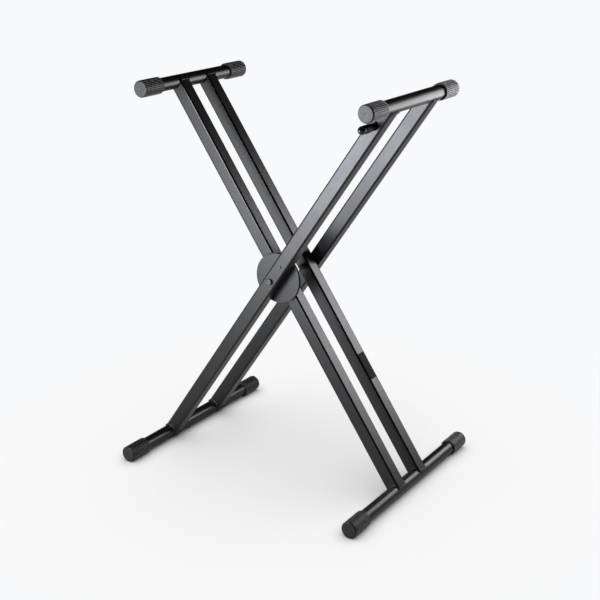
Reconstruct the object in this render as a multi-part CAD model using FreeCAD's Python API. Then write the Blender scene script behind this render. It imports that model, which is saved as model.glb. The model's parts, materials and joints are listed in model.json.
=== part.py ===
import FreeCAD, Part
import math
import os

# A folding keyboard stand: two welded steel frames that cross like an X on one
# pivot line. Each frame is a pair of rectangular arms with a round foot bar
# below and a round top bar above, and every bar end wears a ribbed rubber cap.
# A squeeze lever under one top bar draws a locking pin out of a notched plate,
# which sits between two discs at the front pivot.
#
# The origin lies on the floor, straight under the pivot and half way along the
# bars. +X is the spread of the feet, +Y runs along the bars to the back, and
# +Z is up. The outer frame leans from the -X foot to the +X top bar, and the
# inner frame leans the other way between the outer frame's arms.

# ---------------------------------------------------------------- driving sizes
lower_reach = 533.0         # pivot to foot bar, along an arm
outer_reach = 493.0         # pivot to the outer frame's top bar, along an arm
inner_reach = 487.5         # the same for the inner frame
half_angle = 34.5           # lean of each frame from upright, in degrees

tube_width = 31.5           # arm section, across the arm
tube_depth = 30.0           # arm section, along the bars
tube_wall = 1.5
tube_corner = 2.5           # outside corner radius of the arm section
arm_trim = 4.0              # the coped arm ends stop this far short of a bar's axis

outer_arm_offset = 84.5     # middle of each outer arm from the stand's middle
inner_arm_offset = 47.0     # the same for each inner arm

bar_diameter = 30.0
bar_wall = 1.5
outer_foot_length = 502.0   # foot bars with their caps on
inner_foot_length = 508.0
top_length = 358.0          # top bars with their caps on

cap_diameter = 37.0         # over the ribs
cap_length = 60.0
cap_end_wall = 4.0
cap_face_diameter = 33.6    # smooth disc that closes the cap
cap_face_height = 1.6       # how far that disc stands beyond the ribs
cap_face_round = 0.9
rib_count = 28
rib_depth = 1.1
rib_crest = 2.1             # flat width on top of a rib
rib_root = 1.3              # flat width between two ribs
gate_diameter = 5.0         # shallow moulding mark in the middle of a cap's face
gate_depth = 0.5

disc_diameter = 113.0
disc_thickness = 2.0
disc_edge = 0.7             # rounding of the disc rims
washer_gap = 0.8            # thin washer between the front disc and the lock plate
washer_diameter = 24.0

bolt_diameter = 8.0
bolt_head_diameter = 14.5
bolt_head_height = 5.5
bolt_head_round = 1.6
bolt_tail = 2.0             # thread that shows past a nut
nut_flats = 13.0
nut_corner = 0.5            # how far the nut's six corners are turned down
nut_height = 8.0
nut_washer_diameter = 17.0
nut_washer_thickness = 1.6
sleeve_diameter = 14.0      # sleeves and bushes round the pivot bolts
spacer_diameter = 20.0      # spacer between the two rear arms

release_travel = 8.0        # how far the lever slides towards the top bar
finger_room = 12.5          # space left between lever and cap when squeezed
lever_tip = 155.0           # tip of the grip from the stand's middle
grip_diameter = 17.4        # at its thickest, near the tip
grip_root_diameter = 14.8   # next to the arm
grip_taper = 30.0           # length over which it thickens
grip_dome = 11.5            # length of the rounded tip
grip_groove = 0.5           # depth of the moulded ring where the rounding begins
grip_groove_width = 1.0
grip_tip_wall = 10.0        # solid rubber beyond the shank's end
shank_diameter = 8.0

strip_thickness = 2.5       # flat pull strip inside the front outer arm
strip_tail = 7.0            # strip beyond the lock pin and beyond the shank
pin_diameter = 6.0
pin_place = 40.0            # lock pin from the pivot
notch_depth = 5.0
notch_step = 15.0           # degrees between two height settings
notch_pairs = 2             # settings on each side of the one drawn

rivet_place = 46.5          # rivet from the pivot
rivet_diameter = 4.0
rivet_head_diameter = 7.0
rivet_head_height = 1.8
rivet_tail_diameter = 6.0
rivet_tail_height = 1.2
anchor_thickness = 1.5
anchor_width = 14.0
anchor_height = 14.0        # along the arm
spring_length = 48.0
spring_diameter = 8.0
spring_wire = 1.0
spring_place = 9.0          # spring's axis from the arm's outer face

label_length = 64.0
label_width = 24.6
label_thickness = 0.4
label_place = 265.0         # middle of the label below the pivot, along the arm

# ---------------------------------------------------------------- clearances
seat_gap = 0.05             # round pieces seated in one another
running_gap = 0.06          # a pivot bolt in its turning bush
slide_gap = 0.3             # everything that slides past something else
side_gap = 1.0              # pull strip to the arm's side walls
tooth_gap = 0.4             # lock pin, as drawn, outside the lock plate's teeth
grip_gap = 0.8              # grip to the arm's face

# ---------------------------------------------------------------- worked out
bar_radius = bar_diameter / 2
cap_radius = cap_diameter / 2
bolt_radius = bolt_diameter / 2
sleeve_radius = sleeve_diameter / 2
pin_radius = pin_diameter / 2
shank_radius = shank_diameter / 2

lean = math.radians(half_angle)
foot_x = lower_reach * math.sin(lean)
foot_z = cap_radius
pivot_z = foot_z + lower_reach * math.cos(lean)
outer_top_x = outer_reach * math.sin(lean)
outer_top_z = pivot_z + outer_reach * math.cos(lean)
inner_top_x = -inner_reach * math.sin(lean)
inner_top_z = pivot_z + inner_reach * math.cos(lean)

outer_arm_face = outer_arm_offset + tube_depth / 2      # faces, as distances from
outer_arm_inside = outer_arm_offset - tube_depth / 2    # the stand's middle
inner_arm_face = inner_arm_offset + tube_depth / 2
inner_arm_inside = inner_arm_offset - tube_depth / 2

front_disc_face = outer_arm_inside - disc_thickness
lock_plate_face = front_disc_face - washer_gap
rear_disc_face = inner_arm_face + disc_thickness
bolt_end = inner_arm_inside - nut_washer_thickness - nut_height - bolt_tail

lever_drop = cap_radius + release_travel + finger_room + grip_diameter / 2
lever_place = outer_reach - lever_drop
strip_face = outer_arm_inside + tube_wall + slide_gap   # strip's side next to the wall
strip_back = strip_face + strip_thickness
tooth_radius = pin_place - pin_radius - tooth_gap

anchor_low = rivet_place - anchor_height / 2
spring_low = anchor_low + anchor_height
spring_high = spring_low + spring_length
spring_axis = outer_arm_face - spring_place

# ---------------------------------------------------------------- small helpers
ALONG_BARS = FreeCAD.Vector(0, 1, 0)
UP = FreeCAD.Vector(0, 0, 1)
PIVOT = FreeCAD.Vector(0, 0, pivot_z)
OUTER = half_angle          # each frame's turn about the pivot, from upright
INNER = -half_angle


def rod(radius, y_a, y_b, x=0.0, z=0.0):
    """A round bar along Y between two places, given in either order."""
    start = min(y_a, y_b)
    return Part.makeCylinder(radius, abs(y_b - y_a), FreeCAD.Vector(x, start, z), ALONG_BARS)


def ring(outside, inside, y_a, y_b, x=0.0, z=0.0):
    """A round tube along Y."""
    return rod(outside, y_a, y_b, x, z).cut(rod(inside, y_a, y_b, x, z))


def block(width, y_a, y_b, z_low, z_high):
    """A box centred on X = 0."""
    corner = FreeCAD.Vector(-width / 2, min(y_a, y_b), z_low)
    return Part.makeBox(width, abs(y_b - y_a), z_high - z_low, corner)


def slot(radius, y_a, y_b, z_low, z_high):
    """A slot cutter: two round ends at the given places along the arm."""
    body = block(2 * radius, y_a, y_b, z_low, z_high)
    ends = [rod(radius, y_a, y_b, 0.0, z_low), rod(radius, y_a, y_b, 0.0, z_high)]
    return body.multiFuse(ends)


def rounded_post(width, depth, corner, y_mid, z_low, z_high):
    """A rectangular post along Z with its four long edges rounded."""
    post = block(width, y_mid - depth / 2, y_mid + depth / 2, z_low, z_high)
    uprights = [edge for edge in post.Edges
                if abs(edge.Vertexes[0].Z - edge.Vertexes[1].Z) > tube_wall]
    return post.makeFillet(corner, uprights)


def rim_edges(shape, radius):
    """The circular edges of one radius, such as the two rims of a disc."""
    return [edge for edge in shape.Edges
            if hasattr(edge.Curve, "Radius") and abs(edge.Curve.Radius - radius) < seat_gap / 2]


def on_pivot(shape, turn):
    """Takes a shape drawn around an upright arm to its leaning place."""
    placed = shape.copy()
    placed.rotate(FreeCAD.Vector(0, 0, 0), ALONG_BARS, turn)
    placed.translate(PIVOT)
    return placed


pieces = {}


# ---------------------------------------------------------------- arms
def arm_tube(offset, reach):
    """One arm, upright around the pivot, with both ends coped to the round bars."""
    low = arm_trim - lower_reach
    high = reach - arm_trim
    outside = rounded_post(tube_width, tube_depth, tube_corner, offset, low, high)
    inside = rounded_post(tube_width - 2 * tube_wall, tube_depth - 2 * tube_wall,
                          tube_corner - tube_wall, offset, low, high)
    near = offset - tube_depth
    far = offset + tube_depth
    copes = [rod(bar_radius + seat_gap, near, far, 0.0, -lower_reach),
             rod(bar_radius + seat_gap, near, far, 0.0, reach)]
    return outside.cut(inside).cut(copes[0]).cut(copes[1])


def across(offset):
    """The two faces of an arm, a little beyond, for cutters that go right through."""
    return offset - tube_depth, offset + tube_depth


def outer_arm(offset):
    """An outer arm has plain bolt holes, because its bolt doesn't turn in it."""
    return arm_tube(offset, outer_reach).cut(rod(bolt_radius + seat_gap, *across(offset)))


def inner_arm(offset):
    """An inner arm has holes for the bush that turns on the bolt."""
    return arm_tube(offset, inner_reach).cut(rod(sleeve_radius + seat_gap, *across(offset)))


# The front outer arm also has a slot in its outer wall for the lever's shank and
# one in its inner wall for the lock pin, and the rivet's hole.
shank_slot = slot(shank_radius + slide_gap, -outer_arm_face - tube_wall, -outer_arm_offset,
                  lever_place, lever_place + release_travel)
pin_slot = slot(pin_radius + slide_gap, -outer_arm_offset, -lock_plate_face,
                pin_place, pin_place + release_travel)
rivet_hole = rod(rivet_diameter / 2 + seat_gap, -outer_arm_face - tube_wall,
                 -outer_arm_offset, 0.0, rivet_place)
front_arm = outer_arm(-outer_arm_offset).cut(shank_slot).cut(pin_slot).cut(rivet_hole)

pieces["outer_arm_front"] = on_pivot(front_arm, OUTER)
pieces["outer_arm_rear"] = on_pivot(outer_arm(outer_arm_offset), OUTER)
pieces["inner_arm_front"] = on_pivot(inner_arm(-inner_arm_offset), INNER)
pieces["inner_arm_rear"] = on_pivot(inner_arm(inner_arm_offset), INNER)


# ---------------------------------------------------------------- bars and caps
def round_bar(length, x, z):
    """A round tube that ends inside its two caps, against their end walls."""
    half = length / 2 - cap_end_wall
    return ring(bar_radius, bar_radius - bar_wall, -half, half, x, z)


def rib_outline():
    """The closed outline of a cap's ribs, with flat crests and flat roots."""
    step = 2 * math.pi / rib_count
    corners = []
    for rib in range(rib_count):
        for turn, distance, flat in ((rib * step, cap_radius, rib_crest),
                                     ((rib + 0.5) * step, cap_radius - rib_depth, rib_root)):
            for side in (-flat / 2, flat / 2):
                x = distance * math.cos(turn) - side * math.sin(turn)
                z = distance * math.sin(turn) + side * math.cos(turn)
                corners.append(FreeCAD.Vector(x, 0, z))
    return Part.makePolygon(corners + corners[:1])


def ribbed_cap():
    """A rubber cap with its mouth at Y = 0 and its face at Y = cap_length."""
    ribs_end = cap_length - cap_face_height
    ribs = Part.Face(rib_outline()).extrude(ALONG_BARS * ribs_end)
    face = rod(cap_face_diameter / 2, ribs_end / 2, cap_length)
    outer_rim = [edge for edge in rim_edges(face, cap_face_diameter / 2)
                 if edge.BoundBox.YMin > ribs_end]
    face = face.makeFillet(cap_face_round, outer_rim)
    bore = rod(bar_radius + seat_gap, 0.0, cap_length - cap_end_wall)
    gate = rod(gate_diameter / 2, cap_length - gate_depth, cap_length)
    return ribs.fuse(face).cut(bore).cut(gate)


cap_shape = ribbed_cap()


def cap_on(length, x, z, side):
    """A cap on one end of a bar. side is -1 at the front and 1 at the back."""
    cap = cap_shape.copy()
    if side < 0:
        cap.rotate(FreeCAD.Vector(0, 0, 0), UP, 180)
    cap.translate(FreeCAD.Vector(x, side * (length / 2 - cap_length), z))
    return cap


bars = (("outer_foot", outer_foot_length, -foot_x, foot_z),
        ("outer_top", top_length, outer_top_x, outer_top_z),
        ("inner_foot", inner_foot_length, foot_x, foot_z),
        ("inner_top", top_length, inner_top_x, inner_top_z))
for name, length, x, z in bars:
    pieces[name + "_bar"] = round_bar(length, x, z)
    pieces[name + "_cap_front"] = cap_on(length, x, z, -1)
    pieces[name + "_cap_rear"] = cap_on(length, x, z, 1)


# ---------------------------------------------------------------- discs and lock plate
def disc(y_a, y_b, hole_radius):
    """A flat round plate with both rims rounded."""
    plate = rod(disc_diameter / 2, y_a, y_b)
    plate = plate.makeFillet(disc_edge, rim_edges(plate, disc_diameter / 2))
    return plate.cut(rod(hole_radius, y_a, y_b))


def lock_plate():
    """The toothed plate on the inner frame, one notch for each height setting."""
    plate = rod(tooth_radius, -lock_plate_face, -rear_disc_face)
    plate = plate.cut(rod(sleeve_radius + seat_gap, -lock_plate_face, -rear_disc_face))
    notch_radius = pin_radius + slide_gap
    notch = slot(notch_radius, -lock_plate_face, -rear_disc_face,
                 tooth_radius - notch_depth + notch_radius, tooth_radius + notch_radius)
    for setting in range(-notch_pairs, notch_pairs + 1):
        cutter = notch.copy()
        turn = 2 * half_angle + setting * notch_step
        cutter.rotate(FreeCAD.Vector(0, 0, 0), ALONG_BARS, turn)
        plate = plate.cut(cutter)
    return plate


front_disc = disc(-outer_arm_inside, -front_disc_face, bolt_radius + seat_gap).cut(pin_slot)
rear_disc = disc(-rear_disc_face, -inner_arm_face, sleeve_radius + seat_gap)
disc_washer = ring(washer_diameter / 2, bolt_radius + seat_gap,
                   -front_disc_face, -lock_plate_face)

pieces["front_disc"] = on_pivot(front_disc, OUTER)
pieces["disc_washer"] = on_pivot(disc_washer, OUTER)
pieces["rear_disc"] = on_pivot(rear_disc, INNER)
pieces["lock_plate"] = on_pivot(lock_plate(), INNER)


# ---------------------------------------------------------------- pivot hardware
def pivot_bolt(side):
    """A bolt with a low round head outside the outer arm. side is -1 or 1."""
    head_top = outer_arm_face + bolt_head_height
    head = rod(bolt_head_diameter / 2, side * outer_arm_face, side * head_top)
    top_rim = [edge for edge in rim_edges(head, bolt_head_diameter / 2)
               if abs(edge.BoundBox.Center.y) > outer_arm_face + bolt_head_height / 2]
    head = head.makeFillet(bolt_head_round, top_rim)
    return head.fuse(rod(bolt_radius, side * outer_arm_face, side * bolt_end))


def pivot_nut(side):
    """A hexagon nut with its corners turned down."""
    near = inner_arm_inside - nut_washer_thickness
    far = near - nut_height
    corner_radius = nut_flats / math.sqrt(3)
    corners = [FreeCAD.Vector(corner_radius * math.cos(math.radians(60 * n)), side * near,
                              corner_radius * math.sin(math.radians(60 * n)))
               for n in range(7)]
    hexagon = Part.Face(Part.makePolygon(corners)).extrude(ALONG_BARS * side * (far - near))
    round_blank = rod(corner_radius, side * near, side * far)
    round_blank = round_blank.makeChamfer(nut_corner, rim_edges(round_blank, corner_radius))
    return hexagon.common(round_blank).cut(rod(bolt_radius + seat_gap, side * near, side * far))


def nut_washer(side):
    """The flat washer under a nut."""
    near = inner_arm_inside
    return ring(nut_washer_diameter / 2, bolt_radius + seat_gap,
                side * near, side * (near - nut_washer_thickness))


def arm_sleeve(side):
    """The sleeve that keeps a bolt from crushing an outer arm."""
    return ring(sleeve_radius, bolt_radius + seat_gap,
                side * (outer_arm_inside + tube_wall), side * (outer_arm_face - tube_wall))


for name, side in (("front", -1), ("rear", 1)):
    pieces[name + "_pivot_bolt"] = on_pivot(pivot_bolt(side), OUTER)
    pieces[name + "_pivot_nut"] = on_pivot(pivot_nut(side), OUTER)
    pieces[name + "_nut_washer"] = on_pivot(nut_washer(side), OUTER)
    pieces[name + "_arm_sleeve"] = on_pivot(arm_sleeve(side), OUTER)

# The front bush also carries the rear disc and the lock plate.
front_bush = ring(sleeve_radius, bolt_radius + running_gap, -lock_plate_face, -inner_arm_inside)
rear_bush = ring(sleeve_radius, bolt_radius + running_gap, inner_arm_inside, inner_arm_face)
rear_spacer = ring(spacer_diameter / 2, bolt_radius + seat_gap, inner_arm_face, outer_arm_inside)
pieces["front_pivot_bush"] = on_pivot(front_bush, INNER)
pieces["rear_pivot_bush"] = on_pivot(rear_bush, INNER)
pieces["rear_spacer"] = on_pivot(rear_spacer, OUTER)


# ---------------------------------------------------------------- release lever
def lever_shank():
    """The steel pin that carries the grip and is riveted into the pull strip."""
    return rod(shank_radius, -(lever_tip - grip_tip_wall), -strip_face, 0.0, lever_place)


def lever_grip():
    """The rubber grip: a sleeve that thickens to a domed tip, with one moulded ring."""
    radius = grip_diameter / 2
    base = outer_arm_face + grip_gap
    tip = FreeCAD.Vector(0, -lever_tip, 0)
    shoulder = FreeCAD.Vector(radius, -(lever_tip - grip_dome), 0)
    sides = Part.makePolygon([tip, FreeCAD.Vector(0, -base, 0),
                              FreeCAD.Vector(grip_root_diameter / 2, -base, 0),
                              FreeCAD.Vector(radius, -(base + grip_taper), 0), shoulder])
    dome = Part.Ellipse(tip, shoulder, FreeCAD.Vector(0, shoulder.y, 0))
    half = Part.Face(Part.Wire(sides.Edges + [dome.toShape(0, math.pi / 2)]))
    groove = ring(radius + grip_groove, radius - grip_groove, shoulder.y,
                  shoulder.y + grip_groove_width)
    bore = rod(shank_radius + seat_gap, -base, -(lever_tip - grip_tip_wall))
    grip = half.revolve(tip, ALONG_BARS, 360).cut(groove).cut(bore)
    grip.translate(UP * lever_place)
    return grip


def pull_strip():
    """The flat strip inside the arm, with a tab that the return spring hooks."""
    width = tube_width - 2 * (tube_wall + side_gap)
    strip = block(width, -strip_face, -strip_back, pin_place - strip_tail,
                  lever_place + strip_tail)
    tab = block(spring_diameter, -strip_back, -(spring_axis + spring_diameter / 2),
                spring_high, spring_high + strip_thickness)
    strip = strip.fuse(tab)
    strip = strip.cut(rod(pin_radius + seat_gap, -strip_face, -strip_back, 0.0, pin_place))
    return strip.cut(rod(shank_radius + seat_gap, -strip_face, -strip_back, 0.0, lever_place))


def lock_pin():
    """The pin that the strip moves in and out of the lock plate's notches."""
    return rod(pin_radius, -strip_back, -(rear_disc_face + slide_gap), 0.0, pin_place)


def return_spring():
    """The tension spring, as the sleeve of space that its coils fill."""
    radius = spring_diameter / 2
    centre = FreeCAD.Vector(0, -spring_axis, spring_low)
    outside = Part.makeCylinder(radius, spring_length, centre, UP)
    return outside.cut(Part.makeCylinder(radius - spring_wire, spring_length, centre, UP))


def spring_anchor():
    """The angle bracket riveted inside the arm, which holds the spring's lower end."""
    wall_face = outer_arm_face - tube_wall
    foot = block(anchor_width, -wall_face, -(wall_face - anchor_thickness),
                 anchor_low, spring_low)
    leg = block(anchor_width, -wall_face, -(spring_axis - spring_diameter / 2),
                spring_low - anchor_thickness, spring_low)
    hole = rod(rivet_diameter / 2 + seat_gap, -wall_face, -(wall_face - anchor_thickness),
               0.0, rivet_place)
    return foot.fuse(leg).cut(hole)


def anchor_rivet():
    """The rivet with its round head outside and its set tail inside the arm."""
    tail_face = outer_arm_face - tube_wall - anchor_thickness
    head = rod(rivet_head_diameter / 2, -outer_arm_face, -(outer_arm_face + rivet_head_height),
               0.0, rivet_place)
    top_rim = [edge for edge in rim_edges(head, rivet_head_diameter / 2)
               if edge.BoundBox.Center.y < -(outer_arm_face + rivet_head_height / 2)]
    head = head.makeFillet(rivet_head_height / 2, top_rim)
    stem = rod(rivet_diameter / 2, -outer_arm_face, -tail_face, 0.0, rivet_place)
    tail = rod(rivet_tail_diameter / 2, -tail_face, -(tail_face - rivet_tail_height),
               0.0, rivet_place)
    return head.fuse(stem).fuse(tail)


pieces["lever_shank"] = on_pivot(lever_shank(), OUTER)
pieces["lever_grip"] = on_pivot(lever_grip(), OUTER)
pieces["pull_strip"] = on_pivot(pull_strip(), OUTER)
pieces["lock_pin"] = on_pivot(lock_pin(), OUTER)
pieces["return_spring"] = on_pivot(return_spring(), OUTER)
pieces["spring_anchor"] = on_pivot(spring_anchor(), OUTER)
pieces["anchor_rivet"] = on_pivot(anchor_rivet(), OUTER)

# ---------------------------------------------------------------- label
# A bare label plate stuck on the upper narrow face of the rear inner arm.
label = Part.makeBox(label_thickness, label_width, label_length,
                     FreeCAD.Vector(tube_width / 2, inner_arm_offset - label_width / 2,
                                    -label_place - label_length / 2))
pieces["label_plate"] = on_pivot(label, INNER)

# ---------------------------------------------------------------- output
os.makedirs("parts", exist_ok=True)
for name, shape in pieces.items():
    shape.exportStep("parts/" + name + ".step")
    print(name, len(shape.Solids), "solid", round(shape.Volume / 1000, 2), "cm3",
          "valid" if shape.isValid() else "NOT VALID")
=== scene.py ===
import json
import math

import bpy
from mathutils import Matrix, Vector


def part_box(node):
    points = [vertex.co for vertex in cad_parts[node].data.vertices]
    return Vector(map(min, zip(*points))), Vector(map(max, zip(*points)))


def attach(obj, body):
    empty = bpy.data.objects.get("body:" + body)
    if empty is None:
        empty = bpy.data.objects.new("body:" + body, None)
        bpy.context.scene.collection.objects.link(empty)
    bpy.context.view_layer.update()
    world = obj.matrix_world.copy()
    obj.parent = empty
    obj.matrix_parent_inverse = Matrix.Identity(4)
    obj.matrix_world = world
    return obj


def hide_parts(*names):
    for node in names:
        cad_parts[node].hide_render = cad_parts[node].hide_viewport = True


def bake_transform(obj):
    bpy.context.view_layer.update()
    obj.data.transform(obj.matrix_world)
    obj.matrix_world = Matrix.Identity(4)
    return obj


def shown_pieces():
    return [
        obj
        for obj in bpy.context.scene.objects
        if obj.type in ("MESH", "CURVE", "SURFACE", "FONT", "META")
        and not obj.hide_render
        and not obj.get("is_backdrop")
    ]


# ---------------------------------------------------------------- the frame
# The stand as it was built and packed: origin on the floor under the pivot,
# +X the spread of the feet, +Y along the bars to the back, +Z up, in metres.
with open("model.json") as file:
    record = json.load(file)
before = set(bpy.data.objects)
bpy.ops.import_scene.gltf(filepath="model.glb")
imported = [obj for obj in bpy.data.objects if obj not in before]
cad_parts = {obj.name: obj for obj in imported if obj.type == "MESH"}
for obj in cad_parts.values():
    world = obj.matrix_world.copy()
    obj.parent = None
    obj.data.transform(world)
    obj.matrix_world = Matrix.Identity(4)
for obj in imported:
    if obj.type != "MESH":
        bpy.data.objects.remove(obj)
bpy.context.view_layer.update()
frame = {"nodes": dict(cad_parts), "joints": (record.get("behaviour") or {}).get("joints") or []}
nodes = frame["nodes"]

# ---------------------------------------------------------------- camera
# The stand is seen from its lever side, a little from the right and from above,
# through a long lens that stands about two and a half metres away.
view_turn = math.radians(33.74)
view_rise = math.radians(19.78)
view_distance = 2.601
look_at = Vector((0.0129, -0.0004, 0.389))
to_camera = Vector((math.sin(view_turn) * math.cos(view_rise),
                    -math.cos(view_turn) * math.cos(view_rise),
                    math.sin(view_rise)))

camera_data = bpy.data.cameras.new("camera")
camera_data.lens = 69.41
camera_data.sensor_width = 36.0
camera = bpy.data.objects.new("camera", camera_data)
camera.location = look_at + to_camera * view_distance
camera.rotation_euler = to_camera.to_track_quat("Z", "Y").to_euler()
bpy.context.scene.collection.objects.link(camera)
bpy.context.scene.camera = camera
bpy.context.scene.view_settings.view_transform = "Standard"


# ---------------------------------------------------------------- studio floor
# One wide pale sheet that runs on to the horizon. Near the stand it is a matt
# surface that takes the soft shadow, and further out it goes over to plain white.
class Wire:
    """One value in a node tree, so that shader maths reads as plain sums."""

    def __init__(self, tree, socket):
        self.tree = tree
        self.socket = socket

    def out(self, name):
        """Another output of the node that this value comes from."""
        return Wire(self.tree, self.socket.node.outputs[name])

    def __add__(self, other):
        return self.tree.maths("ADD", self, other)

    def __sub__(self, other):
        return self.tree.maths("SUBTRACT", self, other)

    def __rsub__(self, other):
        return self.tree.maths("SUBTRACT", other, self)

    def __mul__(self, other):
        return self.tree.maths("MULTIPLY", self, other)

    def __abs__(self):
        return self.tree.maths("ABSOLUTE", self)

    __radd__ = __add__
    __rmul__ = __mul__


class Finish:
    """The node tree of one finish, filled a node at a time."""

    def __init__(self, owner):
        owner.use_nodes = True
        self.owner = owner
        self.nodes = owner.node_tree.nodes
        self.links = owner.node_tree.links
        self.nodes.clear()

    def add(self, kind, settings=None, sockets=None, out=0):
        """Adds a node: its settings first, then the values or links of its sockets."""
        node = self.nodes.new("ShaderNode" + kind)
        for name, value in (settings or {}).items():
            setattr(node, name, value)
        for name, value in (sockets or {}).items():
            if isinstance(value, Wire):
                self.links.new(value.socket, node.inputs[name])
            else:
                node.inputs[name].default_value = value
        return Wire(self, node.outputs[out]) if node.outputs else None

    def maths(self, operation, *values):
        """The result of one operation on wires or numbers."""
        return self.add("Math", {"operation": operation}, dict(enumerate(values)))

    def place(self):
        """Where a point lies, in metres, in the piece's own space."""
        return self.add("TexCoord", out="Object")

    def split(self, whole):
        """The X of a place. Its Y and Z are other outputs of the same node."""
        return self.add("SeparateXYZ", sockets={"Vector": whole})

    def rise(self, value, low, high):
        """A smooth step from 0 at low to 1 at high."""
        return self.add("MapRange", {"interpolation_type": "SMOOTHSTEP"},
                        {"Value": value, "From Min": low, "From Max": high})

    def noise(self, where, size, detail=2.0):
        """Soft noise from 0 to 1 whose patches are about size metres across."""
        return self.add("TexNoise", sockets={"Vector": where, "Scale": 1.0 / size,
                                             "Detail": detail})

    def mix(self, share, first, second):
        """A colour between two others."""
        return self.add("Mix", {"data_type": "RGBA"}, {0: share, 6: first, 7: second}, 2)

    def bump(self, height, depth, strength=1.0, under=None):
        """A surface normal from a height of 0 to 1 that stands for depth metres. under
        is the normal of the coarser shape that it lies on."""
        sockets = {"Height": height, "Distance": depth, "Strength": strength}
        if under:
            sockets["Normal"] = under
        return self.add("Bump", sockets=sockets)

    def shade(self, sockets):
        """Ends a material with a surface shader."""
        surface = self.add("BsdfPrincipled", sockets=sockets)
        self.add("OutputMaterial", sockets={"Surface": surface})
        return self.owner


def new_mesh(name, points, faces, smooth=True):
    """A mesh object at the origin, from points in metres and lists of their numbers."""
    mesh = bpy.data.meshes.new(name)
    mesh.from_pydata([tuple(point) for point in points], [], faces)
    mesh.update()
    if smooth:
        mesh.shade_smooth()
    else:
        mesh.shade_flat()
    made = bpy.data.objects.new(name, mesh)
    bpy.context.scene.collection.objects.link(made)
    return made


floor_reach = 40.0              # half the side of the floor
floor_grey = 0.82               # the floor's own matt white
white = (0.938, 0.946, 0.964, 1.0)
shadow_reach = (0.45, 1.0)      # where the shadow part begins and ends to fade out
gloss_share = 0.57              # how much of the floor's white a gloss picks up


def seen_directly(finish):
    """1 for what the camera sees, straight or in a gloss, and 0 for the bounced light."""
    path = finish.add("LightPath", out="Is Camera Ray")
    seen = finish.maths("MAXIMUM", path, path.out("Is Glossy Ray"))
    return finish.maths("MAXIMUM", seen, path.out("Is Transmission Ray"))


def floor_finish():
    """Matt near the stand and plain white beyond. A gloss picks up a share of both."""
    sheet = Finish(bpy.data.materials.new("studio_floor"))
    along = sheet.split(sheet.place())
    distance = sheet.maths("SQRT", along * along + along.out("Y") * along.out("Y"))
    far = sheet.rise(distance, *shadow_reach)
    glossed = sheet.add("LightPath", out="Is Glossy Ray")
    greys = [(floor_grey * share, floor_grey * share, floor_grey * share, 1.0)
             for share in (1.0, gloss_share)]
    matt = sheet.add("BsdfDiffuse", sockets={"Color": sheet.mix(glossed, *greys)})
    dimmed = tuple(gloss_share * part for part in white[:3]) + (1.0,)
    plain = sheet.add("Emission", sockets={"Color": sheet.mix(glossed, white, dimmed),
                                           "Strength": 1.0})
    both = sheet.add("MixShader", sockets={0: far * seen_directly(sheet), 1: matt, 2: plain})
    sheet.add("OutputMaterial", sockets={"Surface": both})
    return sheet.owner


floor_corners = [(-floor_reach, -floor_reach, 0.0), (floor_reach, -floor_reach, 0.0),
                 (floor_reach, floor_reach, 0.0), (-floor_reach, floor_reach, 0.0)]
floor = new_mesh("studio_floor", floor_corners, [(0, 1, 2, 3)], smooth=False)
floor.data.materials.append(floor_finish())
floor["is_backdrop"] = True

# ---------------------------------------------------------------- studio light
# A dark room, a wide soft light overhead that only the floor takes, for its soft
# shadow, and soft panels round the stand, the strongest one at the front left.
room_grey = 0.02
overhead_strength = 3.66
overhead_angle = math.radians(110.0)


def room_light():
    """The room behind the floor: white to the camera, nearly dark to everything else."""
    room = Finish(bpy.context.scene.world or bpy.data.worlds.new("room"))
    bpy.context.scene.world = room.owner
    backdrop = room.add("LightPath", out="Is Camera Ray")
    dim = room.add("Background", sockets={"Color": (room_grey, room_grey, room_grey, 1.0)})
    pale = room.add("Background", sockets={"Color": white})
    both = room.add("MixShader", sockets={0: backdrop, 1: dim, 2: pale})
    room.add("OutputWorld", sockets={"Surface": both})


room_light()

overhead_data = bpy.data.lights.new("overhead", "SUN")
overhead_data.energy = overhead_strength
overhead_data.angle = overhead_angle
overhead = bpy.data.objects.new("overhead", overhead_data)
bpy.context.scene.collection.objects.link(overhead)
only_floor = bpy.data.collections.new("lit_from_above")
only_floor.objects.link(floor)
overhead.light_linking.receiver_collection = only_floor

only_stand = bpy.data.collections.new("lit_by_panels")


def soft_panel(name, centre, aim, wide, tall, radiance, tint):
    """A flat panel of even light that faces a point and lights the stand alone."""
    data = bpy.data.lights.new(name, "AREA")
    data.color = tint
    data.shape = "RECTANGLE"
    data.size = wide
    data.size_y = tall
    data.energy = radiance * math.pi * wide * tall
    panel = bpy.data.objects.new(name, data)
    panel.location = centre
    panel.rotation_euler = (Vector(centre) - Vector(aim)).to_track_quat("Z", "Y").to_euler()
    panel.visible_camera = False
    bpy.context.scene.collection.objects.link(panel)
    panel.light_linking.receiver_collection = only_stand


cool = (0.89, 0.93, 1.0)
neutral = (0.965, 0.97, 1.0)
soft_panel("panel_front_left", (-0.51, -1.14, 0.75), (0.0, 0.0, 0.75), 0.39, 0.90, 26.4, cool)
soft_panel("panel_front_low", (-0.51, -1.14, 0.15), (0.0, 0.0, 0.15), 0.39, 0.30, 7.6, cool)
soft_panel("panel_back", (0.60, 1.10, 0.80), (0.60, 0.0, 0.80), 0.40, 0.80, 8.6, neutral)
soft_panel("panel_back_right", (1.00, 1.10, 0.80), (1.00, 0.0, 0.80), 0.40, 0.80, 5.6, neutral)

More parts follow.
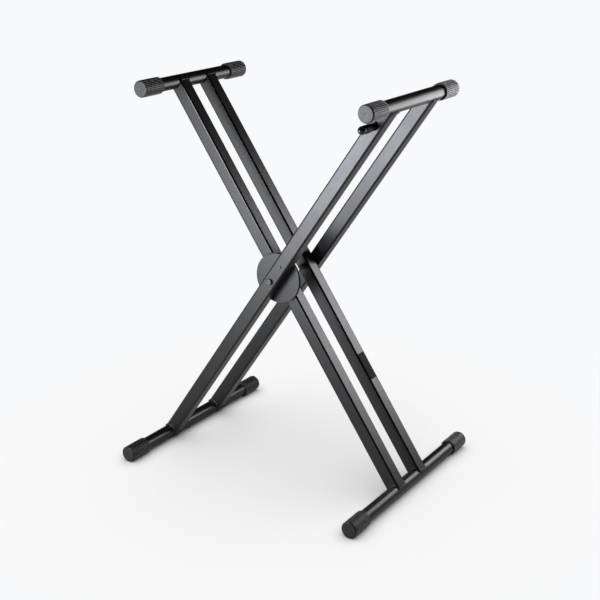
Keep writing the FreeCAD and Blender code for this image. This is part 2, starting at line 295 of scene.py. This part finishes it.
# ---------------------------------------------------------------- arms
# Four lengths of near square steel tube, 31.5 by 30 mm, notched to sit on the
# round bars and welded all round. Each frame is powder coated satin black whole.
MM = 0.001
joints = {joint["name"]: joint for joint in frame["joints"]}
pivot = Vector(joints["fold"]["pos_m"])
outer_up = Vector(joints["lever"]["axis"])
inner_up = Vector((-outer_up.x, 0.0, outer_up.z))
tube_half_width = 15.75 * MM    # across the arm
tube_half_depth = 15.0 * MM     # along the bars
tube_corner = 2.5 * MM
arm_trim = 4.0 * MM             # the narrow walls stop this far short of a bar's axis

coat_deep = (0.0028, 0.0029, 0.0033, 1.0)
coat_pale = (0.0056, 0.0058, 0.0064, 1.0)
# painted shade: the darker colour laid along the arms' long corners and the discs' rims
coat_edge_shade = (0.0020, 0.0021, 0.0023, 1.0)
coat_gloss = 0.37               # roughness of the satin
coat_index = 1.50               # refractive index of the cured powder
coat_round = 4.2                # mm from a corner where the coat begins to fall off
coat_fall = 0.11                # mm of fall for each square mm beyond that


def powder_coat(name, edge_shade=None):
    """Satin powder coat: faint clouds, orange peel, and a mask along edges where shade is painted
    in darker and the coat is smoother.
    """
    coat = Finish(bpy.data.materials.new(name))
    whole = coat.place()
    clouds = coat.noise(whole, 60 * MM)
    peel = coat.noise(whole, 1.3 * MM, 1.0)
    specks = coat.rise(coat.noise(whole, 0.6 * MM, 0.0), 0.72, 0.80)
    colour = coat.mix(clouds * 0.5 + peel * 0.5, coat_deep, coat_pale)
    rough = coat_gloss + 0.10 * (clouds - 0.5) + 0.08 * (peel - 0.5) + 0.10 * specks
    fall = None
    if edge_shade:
        mask, fall = edge_shade(coat, coat.split(whole))
        # the mask paints shade: a darker line of colour along the edges
        colour = coat.mix(mask, colour, coat_edge_shade)
        rough = rough - 0.12 * mask
    normal = coat.bump(peel + 0.5 * specks, 0.05 * MM, 0.5, under=fall)
    return coat.shade({"Base Color": colour, "Roughness": rough, "Normal": normal,
                       "IOR": coat_index})


def arm_corners(up, offset):
    """An arm's four long corners: a painted dark line of shade along each, where the coat is also
    smoother, and the slow fall of the thick coat towards each corner."""
    def corners(coat, x):
        height = x.out("Z") - pivot.z
        across = abs(x * up.z - height * up.x) * (1 / MM)
        depth = abs(abs(x.out("Y")) - offset) * (1 / MM)
        aside = coat.maths("MAXIMUM", across - (tube_half_width / MM - coat_round), 0.0)
        back = coat.maths("MAXIMUM", depth - (tube_half_depth / MM - coat_round), 0.0)
        mask = coat.rise(aside, 0.2, coat_round - 2.0) * coat.rise(back, 0.2, coat_round - 2.0)
        return mask, coat.bump(-coat_fall * (aside * aside + back * back), MM)
    return corners


def middle(node):
    """The middle of a node's box."""
    low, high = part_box(node)
    return (low + high) / 2


def dress(material, *names):
    """Gives carried-over nodes their finish."""
    for name in names:
        slots = nodes[name].data.materials
        for place in range(len(slots)):
            slots[place] = material


outer_arm_offset = middle("outer_arm_rear").y
inner_arm_offset = middle("inner_arm_rear").y
outer_coat = powder_coat("outer_arm_coat", arm_corners(outer_up, outer_arm_offset))
inner_coat = powder_coat("inner_arm_coat", arm_corners(inner_up, inner_arm_offset))
dress(outer_coat, "outer_arm_front", "outer_arm_rear")
dress(inner_coat, "inner_arm_front", "inner_arm_rear")

# ---------------------------------------------------------------- bars
# Four round steel tubes, 30 mm thick, level across the arms' ends. They carry
# the same coat as the arms and end inside their rubber caps.
bar_radius = 15.0 * MM
bar_coat = powder_coat("bar_coat")
dress(bar_coat, "outer_foot_bar", "outer_top_bar", "inner_foot_bar", "inner_top_bar")

# ---------------------------------------------------------------- weld beads
# A bead of weld runs round each arm where its notched end meets a bar, and two
# short stitches hold the front disc to the arm. The coat covers them.
bead_radius = 1.7 * MM
bead_proud = 0.8 * MM           # how far it stands out from an arm's narrow ends
bead_bed = 0.8 * MM             # how far its line lies past an arm's trimmed end
bead_ripple = 2.3 * MM          # length of one ripple along a bead
bead_waver = 11.3 * MM          # length of the slower change in its thickness
bead_step = 0.55 * MM
bead_sides = 10
corner_steps = 6


def swept(name, line, radii, up, sides, closed):
    """A round bead or wire along a line of points. up is never along the line."""
    points = []
    faces = []
    count = len(line)
    for n, centre in enumerate(line):
        ahead = line[(n + 1) % count] if closed or n + 1 < count else centre
        behind = line[n - 1] if closed or n > 0 else centre
        along = (ahead - behind).normalized()
        aside = along.cross(up).normalized()
        over = aside.cross(along)
        for side in range(sides):
            turn = 2 * math.pi * side / sides
            points.append(centre + (aside * math.cos(turn) + over * math.sin(turn)) * radii[n])
    for n in range(count if closed else count - 1):
        for side in range(sides):
            this, after = n * sides, ((n + 1) % count) * sides
            beside = (side + 1) % sides
            faces.append((this + side, this + beside, after + beside, after + side))
    if not closed:
        faces.append(tuple(reversed(range(sides))))
        faces.append(tuple((count - 1) * sides + side for side in range(sides)))
    return new_mesh(name, points, faces)


def arm_outline():
    """Points round an arm's section, as (across, along the bars)."""
    outline = []
    flat_width = tube_half_width - tube_corner
    flat_depth = tube_half_depth - tube_corner
    sides = ((1, 0, flat_depth), (0, 1, flat_width), (-1, 0, flat_depth), (0, -1, flat_width))
    for turn, (right, back, flat) in enumerate(sides):
        steps = max(2, round(2 * flat / bead_step))
        for step in range(steps):
            along = flat * (2 * step / steps - 1)
            outline.append((right * tube_half_width - back * along,
                            back * tube_half_depth + right * along))
        for step in range(corner_steps):
            angle = math.pi / 2 * (turn + step / corner_steps)
            corner_x = flat_width * (1 if turn in (0, 3) else -1)
            corner_y = flat_depth * (1 if turn in (0, 1) else -1)
            outline.append((corner_x + tube_corner * math.cos(angle),
                            corner_y + tube_corner * math.sin(angle)))
    return outline


def ripples(line, base):
    """The bead's radius at each point of its line, swelling with every ripple."""
    radii = []
    gone = 0.0
    for n, point in enumerate(line):
        gone += (point - line[n - 1]).length if n else 0.0
        wave = math.sin(2 * math.pi * gone / bead_ripple)
        slow = math.sin(2 * math.pi * gone / bead_waver + 1.0)
        radii.append(base * (1.0 + 0.09 * wave + 0.06 * slow))
    return radii


def square_to(up):
    """The direction across an arm, square to its length and to the bars."""
    return Vector((up.z, 0.0, -up.x))


def bar_weld(name, body, bar, up, offset, coat):
    """The bead that joins one arm to one bar."""
    centre = middle(bar)
    reach = (centre - pivot).dot(up)
    inward = -1.0 if reach > 0 else 1.0
    line = []
    for aside, along in arm_outline():
        seat = max(arm_trim - bead_bed, math.sqrt(max(bar_radius ** 2 - aside ** 2, 0.0)))
        if abs(aside) > bar_radius - 1.0 * MM:
            aside += math.copysign(bead_proud, aside)
        line.append(pivot + up * (reach + inward * seat) + square_to(up) * aside
                    + Vector((0.0, offset + along, 0.0)))
    bead = swept(name, line, ripples(line, bead_radius), up, bead_sides, closed=True)
    bead.data.materials.append(coat)
    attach(bead, body)


for frame_name, up, offset, coat in (("outer", outer_up, outer_arm_offset, outer_coat),
                                     ("inner", inner_up, inner_arm_offset, inner_coat)):
    for end in ("foot", "top"):
        for side, sign in (("front", -1), ("rear", 1)):
            bar_weld(f"{frame_name}_{end}_weld_{side}", f"{frame_name}_frame",
                     f"{frame_name}_{end}_bar", up, sign * offset, coat)

stitch_half = 11.0 * MM
stitch_places = (-30.0 * MM, 27.0 * MM)     # along the arm from the pivot
stitch_share = 0.85             # its radius as a share of a weld bead's
stitch_ends = 4                 # points over which each end thins out
disc_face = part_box("front_disc")[0].y
lower_side = square_to(outer_up)
for number, place in enumerate(stitch_places, 1):
    start = pivot + lower_side * tube_half_width + outer_up * (place - stitch_half)
    steps = round(2 * stitch_half / bead_step)
    line = [start + outer_up * (bead_step * step) + Vector((0.0, disc_face, 0.0))
            for step in range(steps + 1)]
    radii = ripples(line, bead_radius * stitch_share)
    for n in range(stitch_ends):
        ease = math.sin(math.pi / 2 * (n + 0.5) / stitch_ends)
        radii[n] *= ease
        radii[-1 - n] *= ease
    stitch = swept(f"disc_stitch_{number}", line, radii, Vector((0, 1, 0)), bead_sides, False)
    stitch.data.materials.append(outer_coat)
    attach(stitch, "outer_frame")

# ---------------------------------------------------------------- rubber caps
# Eight moulded rubber caps, pushed over the bars' ends. Each has 28 ribs that
# soften towards both ends, and a smooth round face with a shallow gate mark.
cap_length = 60.0 * MM
cap_bore = 15.05 * MM
cap_end_wall = 4.0 * MM
rib_count = 28
rib_top = 18.5 * MM             # radius over the ribs
rib_height = 1.1 * MM
ribs_end = 58.4 * MM            # from the mouth
face_radius = 16.8 * MM
face_round = 0.9 * MM
round_steps = 6
crease = math.radians(40)       # faces that meet at more than this keep an edge
# Half a rib, from the middle of its crest: mm round the cap, share of the rib's height.
rib_shape = ((0.00, 1.00), (0.45, 0.99), (0.80, 0.95), (1.02, 0.82), (1.18, 0.55),
             (1.32, 0.22), (1.48, 0.05), (1.75, 0.00))
rib_pitch = 2 * math.pi * rib_top / rib_count
# A cap's rounded ends: mm from that end, mm below the ribs' roots, share of a rib's height.
cap_mouth = ((0.0, 0.75, 0.35), (0.2, 0.35, 0.6), (0.6, 0.1, 0.85), (1.3, 0.0, 1.0),
             (4.0, 0.0, 1.0))
cap_shoulder = ((4.0, 0.0, 1.0), (1.1, 0.0, 1.0), (0.5, 0.05, 0.9), (0.15, 0.2, 0.65),
                (0.0, 0.4, 0.3))
# The gate mark in the middle of the face: mm from the axis, mm sunk.
gate_mark = ((13.0, 0.0), (4.0, 0.0), (3.2, 0.02), (2.3, 0.18), (1.2, 0.22), (0.7, 0.12),
             (0.2, 0.10))

# painted shade in the grooves between the ribs and a painted highlight on their crests; the face
# keeps the rubber's own tone
rubber_groove_shade = (0.0025, 0.0025, 0.0027, 1.0)
rubber_crest_highlight = (0.0070, 0.0070, 0.0073, 1.0)
rubber_face = (0.0050, 0.0050, 0.0053, 1.0)


def rib_share(angle):
    """How much of a rib's height stands at this angle round the cap."""
    turn = angle / (2 * math.pi) * rib_count
    away = abs(turn - round(turn)) * rib_pitch / MM
    for (near, tall), (far, low) in zip(rib_shape, rib_shape[1:]):
        if away <= far:
            return tall + (low - tall) * (away - near) / (far - near)
    return 0.0


def rib_angles():
    """The angles of a cap's points, close together where a rib's side is steep."""
    one_rib = [away * MM / rib_pitch for away, share in rib_shape]
    one_rib = [-place for place in reversed(one_rib[1:])] + one_rib
    return [2 * math.pi * (rib + place) / rib_count for rib in range(rib_count)
            for place in one_rib]


def turned(name, stations, angles):
    """A closed skin round the Y axis through rings of (place, radius, rib height)."""
    shares = [rib_share(angle) for angle in angles]
    points = []
    for place, radius, height in stations:
        for angle, share in zip(angles, shares):
            out = radius + height * share
            points.append((out * math.cos(angle), place, out * math.sin(angle)))
    count = len(angles)
    faces = [tuple(range(count))]
    for ring in range(len(stations) - 1):
        for n in range(count):
            beside = (n + 1) % count
            faces.append((ring * count + n, (ring + 1) * count + n,
                          (ring + 1) * count + beside, ring * count + beside))
    faces.append(tuple((len(stations) - 1) * count + n for n in reversed(range(count))))
    made = new_mesh(name, points, faces)
    made.data.set_sharp_from_angle(angle=crease)
    return made


def cap_stations():
    """The rings of a cap, from the bottom of its bore, round its mouth, to its face."""
    root = rib_top - rib_height
    bottom = cap_length - cap_end_wall
    inside = [(bottom, 0.3 * MM, 0.0), (bottom, cap_bore - 0.3 * MM, 0.0),
              (bottom - 0.3 * MM, cap_bore, 0.0), (0.6 * MM, cap_bore, 0.0),
              (0.0, cap_bore + 0.5 * MM, 0.0)]
    mouth = [(place * MM, root - below * MM, share * rib_height)
             for place, below, share in cap_mouth]
    shoulder = [(ribs_end - place * MM, root - below * MM, share * rib_height)
                for place, below, share in cap_shoulder]
    groove = [(ribs_end, face_radius + 0.12 * MM, 0.0), (ribs_end - 0.5 * MM, face_radius, 0.0)]
    face = []
    for step in range(round_steps + 1):
        turn = math.pi / 2 * step / round_steps
        face.append((cap_length - face_round * (1 - math.sin(turn)),
                     face_radius - face_round * (1 - math.cos(turn)), 0.0))
    face += [(cap_length - sunk * MM, out * MM, 0.0) for out, sunk in gate_mark]
    return inside + mouth + shoulder + groove + face


def cap_finish():
    """Moulded rubber: a painted highlight on the ribs' crests and painted shade in the grooves
    between them, with the mould's rings on its face.
    """
    rubber = Finish(bpy.data.materials.new("cap_rubber"))
    whole = rubber.place()
    x = rubber.split(whole)
    out = rubber.maths("SQRT", x * x + x.out("Z") * x.out("Z"))
    along = x.out("Y")
    face = rubber.rise(along, ribs_end + 0.2 * MM, ribs_end + 0.7 * MM)
    crest = rubber.rise(out, rib_top - 0.9 * MM, rib_top - 0.15 * MM)
    bloom = rubber.noise(whole, 5 * MM, 3.0)
    grain = rubber.noise(whole, 0.5 * MM, 1.0)
    scuffs = rubber.rise(rubber.noise(whole, 1.6 * MM, 3.0), 0.55, 0.75)
    rings = 0.5 + 0.5 * rubber.maths("SINE", out * (2 * math.pi / (0.9 * MM)))
    # paints the highlight on the crests and the shade in the grooves
    colour = rubber.mix(crest * (0.6 + 0.4 * bloom), rubber_groove_shade, rubber_crest_highlight)
    colour = rubber.mix(face * (0.55 + 0.45 * bloom), colour, rubber_face)
    rough = 0.52 - 0.13 * crest + 0.16 * (bloom - 0.5) + 0.05 * scuffs - 0.04 * face
    height = 0.3 * grain + (0.6 * scuffs + 0.4 * rings + 5.0 * bloom) * face
    normal = rubber.bump(height, 0.04 * MM, 0.4)
    return rubber.shade({"Base Color": colour, "Roughness": rough, "Normal": normal,
                         "IOR": 1.52})


cap_rubber = cap_finish()
cap_pattern = turned("cap_pattern", cap_stations(), rib_angles())
cap_pattern.data.materials.append(cap_rubber)
for frame_name in ("outer", "inner"):
    for end in ("foot", "top"):
        for side, sign in (("front", -1), ("rear", 1)):
            node = f"{frame_name}_{end}_cap_{side}"
            low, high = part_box(node)
            cap = bpy.data.objects.new(f"ribbed_{node}", cap_pattern.data.copy())
            bpy.context.scene.collection.objects.link(cap)
            mouth = high.y if sign < 0 else low.y
            cap.location = ((low.x + high.x) / 2, mouth, (low.z + high.z) / 2)
            cap.rotation_euler = (0.0, 0.0, math.pi if sign < 0 else 0.0)
            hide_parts(node)
            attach(cap, f"{frame_name}_frame")
bpy.data.objects.remove(cap_pattern)

# ---------------------------------------------------------------- discs and lock plate
# Two pressed steel discs with rounded rims, one on each frame, guard the lock
# at the front pivot. The notched plate and a thin washer lie between them.
disc_radius = 56.5 * MM


def disc_rim(coat, x):
    """A disc's outer rim, with painted shade and a smoother coat there, without any fall."""
    height = x.out("Z") - pivot.z
    out = coat.maths("SQRT", x * x + height * height)
    return coat.rise(out, disc_radius - 1.4 * MM, disc_radius - 0.1 * MM), None


dress(powder_coat("disc_coat", disc_rim), "front_disc", "rear_disc")

steel_deep = (0.42, 0.43, 0.44, 1.0)
steel_pale = (0.62, 0.63, 0.64, 1.0)


def plated_steel():
    """Zinc plate: bright, faintly clouded, with fine rolling lines."""
    plate = Finish(bpy.data.materials.new("plated_steel"))
    whole = plate.place()
    clouds = plate.noise(whole, 9 * MM, 3.0)
    lines = plate.noise(plate.add("Mapping", sockets={"Vector": whole,
                                                      "Scale": (1.0, 14.0, 1.0)}), 3 * MM)
    colour = plate.mix(0.6 * clouds + 0.4 * lines, steel_deep, steel_pale)
    rough = 0.28 + 0.16 * clouds + 0.10 * (lines - 0.5)
    return plate.shade({"Base Color": colour, "Roughness": rough, "Metallic": 1.0,
                        "Normal": plate.bump(lines, 0.02 * MM, 0.4)})


def nylon():
    """Black nylon with a fine moulded grain."""
    resin = Finish(bpy.data.materials.new("washer_nylon"))
    whole = resin.place()
    grain = resin.noise(whole, 0.4 * MM)
    colour = resin.mix(grain, (0.012, 0.012, 0.012, 1.0), (0.022, 0.022, 0.023, 1.0))
    return resin.shade({"Base Color": colour, "Roughness": 0.45 + 0.12 * grain,
                        "Normal": resin.bump(grain, 0.03 * MM, 0.4)})


plated = plated_steel()
dress(plated, "lock_plate")
dress(nylon(), "disc_washer")

# ---------------------------------------------------------------- pivot hardware
# A bolt with a low round head goes through each pair of arms, with a nut and a
# flat washer inside. Sleeves, bushes and a spacer carry the arms on the bolts.
head_deep = (0.030, 0.031, 0.034, 1.0)
head_pale = (0.060, 0.061, 0.065, 1.0)


def black_hardware():
    """Black finished steel, worn a little paler in small patches."""
    steel = Finish(bpy.data.materials.new("black_hardware"))
    whole = steel.place()
    clouds = steel.noise(whole, 3 * MM, 3.0)
    grain = steel.noise(whole, 0.4 * MM)
    colour = steel.mix(clouds, head_deep, head_pale)
    rough = 0.34 + 0.14 * (clouds - 0.5) + 0.08 * (grain - 0.5)
    return steel.shade({"Base Color": colour, "Roughness": rough, "Metallic": 0.55,
                        "Normal": steel.bump(grain, 0.02 * MM, 0.4)})


hardware = black_hardware()
dress(hardware, "front_pivot_bolt", "rear_pivot_bolt", "front_pivot_nut", "rear_pivot_nut",
      "front_nut_washer", "rear_nut_washer", "anchor_rivet")
dress(plated, "front_arm_sleeve", "rear_arm_sleeve", "front_pivot_bush", "rear_pivot_bush",
      "rear_spacer")

# ---------------------------------------------------------------- release lever
# A steel pin sticks out of the front arm under the top bar and wears a domed
# rubber grip. Inside the arm it pulls a flat strip with the lock pin on it.
grip_radius = 8.7 * MM          # at its thickest, near the tip
grip_root = 7.4 * MM            # next to the arm
grip_taper = 30.0 * MM          # length over which it thickens
grip_dome = 11.5 * MM           # length of the rounded tip
grip_bore = 4.05 * MM
grip_tip_wall = 10.0 * MM
grip_sides = 72
dome_steps = 15
taper_steps = 8
# The groove behind the dome: mm from the dome's end, mm deep.
grip_groove = ((-0.25, 0.0), (-0.02, 0.08), (0.1, 0.4), (0.3, 0.5),
               (0.7, 0.5), (0.9, 0.4), (1.02, 0.08), (1.25, 0.0))
grip_black = (0.0022, 0.0022, 0.0024, 1.0)
grip_worn = (0.0045, 0.0045, 0.0048, 1.0)


def grip_finish():
    """Dull soft rubber, polished by the hand on the dome alone."""
    rubber = Finish(bpy.data.materials.new("grip_rubber"))
    whole = rubber.place()
    x = rubber.split(whole)
    bloom = rubber.noise(whole, 6 * MM, 3.0)
    grain = rubber.noise(whole, 0.5 * MM, 1.0)
    worn = 1.0 - rubber.rise(x.out("Y"), grip_dome + 0.8 * MM, grip_dome + 3.0 * MM)
    colour = rubber.mix(bloom, grip_black, grip_worn)
    rough = 0.62 + 0.10 * (bloom - 0.5) + 0.06 * (grain - 0.5)
    return rubber.shade({"Base Color": colour, "Roughness": rough, "IOR": 1.2,
                         "Coat Weight": worn * (0.7 + 0.3 * bloom), "Coat Roughness": 0.14,
                         "Normal": rubber.bump(grain, 0.02 * MM, 0.2)})


def grip_stations(length):
    """The rings of the grip, from its tip, over its outside and back into its bore."""
    rings = []
    for step in range(1, dome_steps):
        turn = math.pi / 2 * step / dome_steps
        rings.append((grip_dome * (1 - math.cos(turn)), grip_radius * math.sin(turn), 0.0))
    for place, deep in grip_groove:
        rings.append((grip_dome + place * MM, grip_radius - deep * MM, 0.0))
    for step in range(taper_steps + 1):
        left = 1 - step / taper_steps
        rings.append((length - grip_taper * left - 0.5 * MM,
                      grip_root + (grip_radius - grip_root) * left, 0.0))
    return rings + [(length - 0.1 * MM, grip_root - 0.1 * MM, 0.0),
                    (length, grip_root - 0.5 * MM, 0.0), (length, grip_bore + 0.3 * MM, 0.0),
                    (length - 0.3 * MM, grip_bore, 0.0), (grip_tip_wall, grip_bore, 0.0),
                    (grip_tip_wall, 0.25 * MM, 0.0)]


low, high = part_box("lever_grip")
grip_angles = [2 * math.pi * n / grip_sides for n in range(grip_sides)]
grip = turned("domed_grip", grip_stations(high.y - low.y), grip_angles)
grip.location = ((low.x + high.x) / 2, low.y, (low.z + high.z) / 2)
grip.data.materials.append(grip_finish())
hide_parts("lever_grip")
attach(grip, "release")

dress(plated, "lever_shank", "pull_strip", "lock_pin", "spring_anchor")

# ---------------------------------------------------------------- return spring
# A small tension spring inside the front arm draws the strip down again. Its
# lower end hooks on the riveted bracket and its upper end on the strip's tab.
spring_low, spring_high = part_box("return_spring")
spring_wire = 0.5 * MM          # half the wire
coil_radius = 3.5 * MM
coil_turns = 28
coil_points = 18                # to a turn
spring_start = 53.5 * MM        # along the arm from the pivot
spring_length = 48.0 * MM
eye = 4.5 * MM                  # straight part at each end
wire_sides = 8
wire_slant = Vector((0.3, 0.5, 0.81))       # a direction that the wire never takes
spring_foot = pivot + outer_up * spring_start
spring_foot.y = (spring_low.y + spring_high.y) / 2
to_back = Vector((0.0, 1.0, 0.0))
coil = [spring_foot + outer_up * spring_wire]
for n in range(coil_turns * coil_points + 1):
    turn = 2 * math.pi * n / coil_points
    climb = eye + (spring_length - 2 * eye) * n / (coil_turns * coil_points)
    coil.append(spring_foot + outer_up * climb
                + (lower_side * math.cos(turn) + to_back * math.sin(turn)) * coil_radius)
coil.append(spring_foot + outer_up * (spring_length - spring_wire))
spring = swept("coil_spring", coil, [spring_wire] * len(coil), wire_slant, wire_sides, False)
spring.data.materials.append(plated)
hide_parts("return_spring")
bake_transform(spring)

# ---------------------------------------------------------------- label
# A thin dark film label with round corners, stuck on the upper face of the rear
# inner arm, below the pivot.
label_half_length = 32.0 * MM
label_half_width = 12.3 * MM
label_thickness = 0.4 * MM
label_corner = 1.8 * MM
label_place = -265.0 * MM       # along the arm from the pivot
label_crease = math.radians(30)


def label_finish():
    """Dull film, faintly clouded."""
    film = Finish(bpy.data.materials.new("label_film"))
    whole = film.place()
    clouds = film.noise(whole, 12 * MM)
    grain = film.noise(whole, 0.3 * MM)
    colour = film.mix(clouds, (0.0120, 0.0108, 0.0100, 1.0), (0.0200, 0.0182, 0.0168, 1.0))
    rough = 0.72 + 0.10 * (clouds - 0.5) + 0.08 * (grain - 0.5)
    return film.shade({"Base Color": colour, "Roughness": rough, "IOR": 1.25,
                       "Normal": film.bump(grain, 0.01 * MM, 0.3)})


def label_ring(shrink, lift):
    """One outline of the label, drawn in by shrink and lifted off the arm by lift."""
    face = square_to(inner_up)
    flat_width = label_half_width - label_corner
    flat_length = label_half_length - label_corner
    ring = []
    for quarter, (right, top) in enumerate(((1, 1), (-1, 1), (-1, -1), (1, -1))):
        for step in range(corner_steps + 1):
            turn = math.pi / 2 * (quarter + step / corner_steps)
            aside = right * flat_width + (label_corner - shrink) * math.cos(turn)
            along = top * flat_length + (label_corner - shrink) * math.sin(turn)
            ring.append(pivot + inner_up * (label_place + along) + face * (tube_half_width + lift)
                        + Vector((0.0, inner_arm_offset + aside, 0.0)))
    return ring


def label_skin():
    """The label's mesh, through four outlines whose upper edge is a little rounded."""
    rings = [label_ring(0.0, 0.0), label_ring(0.0, label_thickness - 0.12 * MM),
             label_ring(0.05 * MM, label_thickness - 0.03 * MM),
             label_ring(0.15 * MM, label_thickness)]
    count = len(rings[0])
    last = len(rings) - 1
    faces = [tuple(reversed(range(count))), tuple(range(last * count, (last + 1) * count))]
    for ring in range(last):
        for n in range(count):
            beside = (n + 1) % count
            faces.append((ring * count + n, ring * count + beside,
                          (ring + 1) * count + beside, (ring + 1) * count + n))
    return new_mesh("bare_label", [point for ring in rings for point in ring], faces)


label = label_skin()
label.data.set_sharp_from_angle(angle=label_crease)
label.data.materials.append(label_finish())
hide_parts("label_plate")
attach(label, "inner_frame")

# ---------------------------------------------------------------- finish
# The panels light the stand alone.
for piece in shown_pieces():
    only_stand.objects.link(piece)
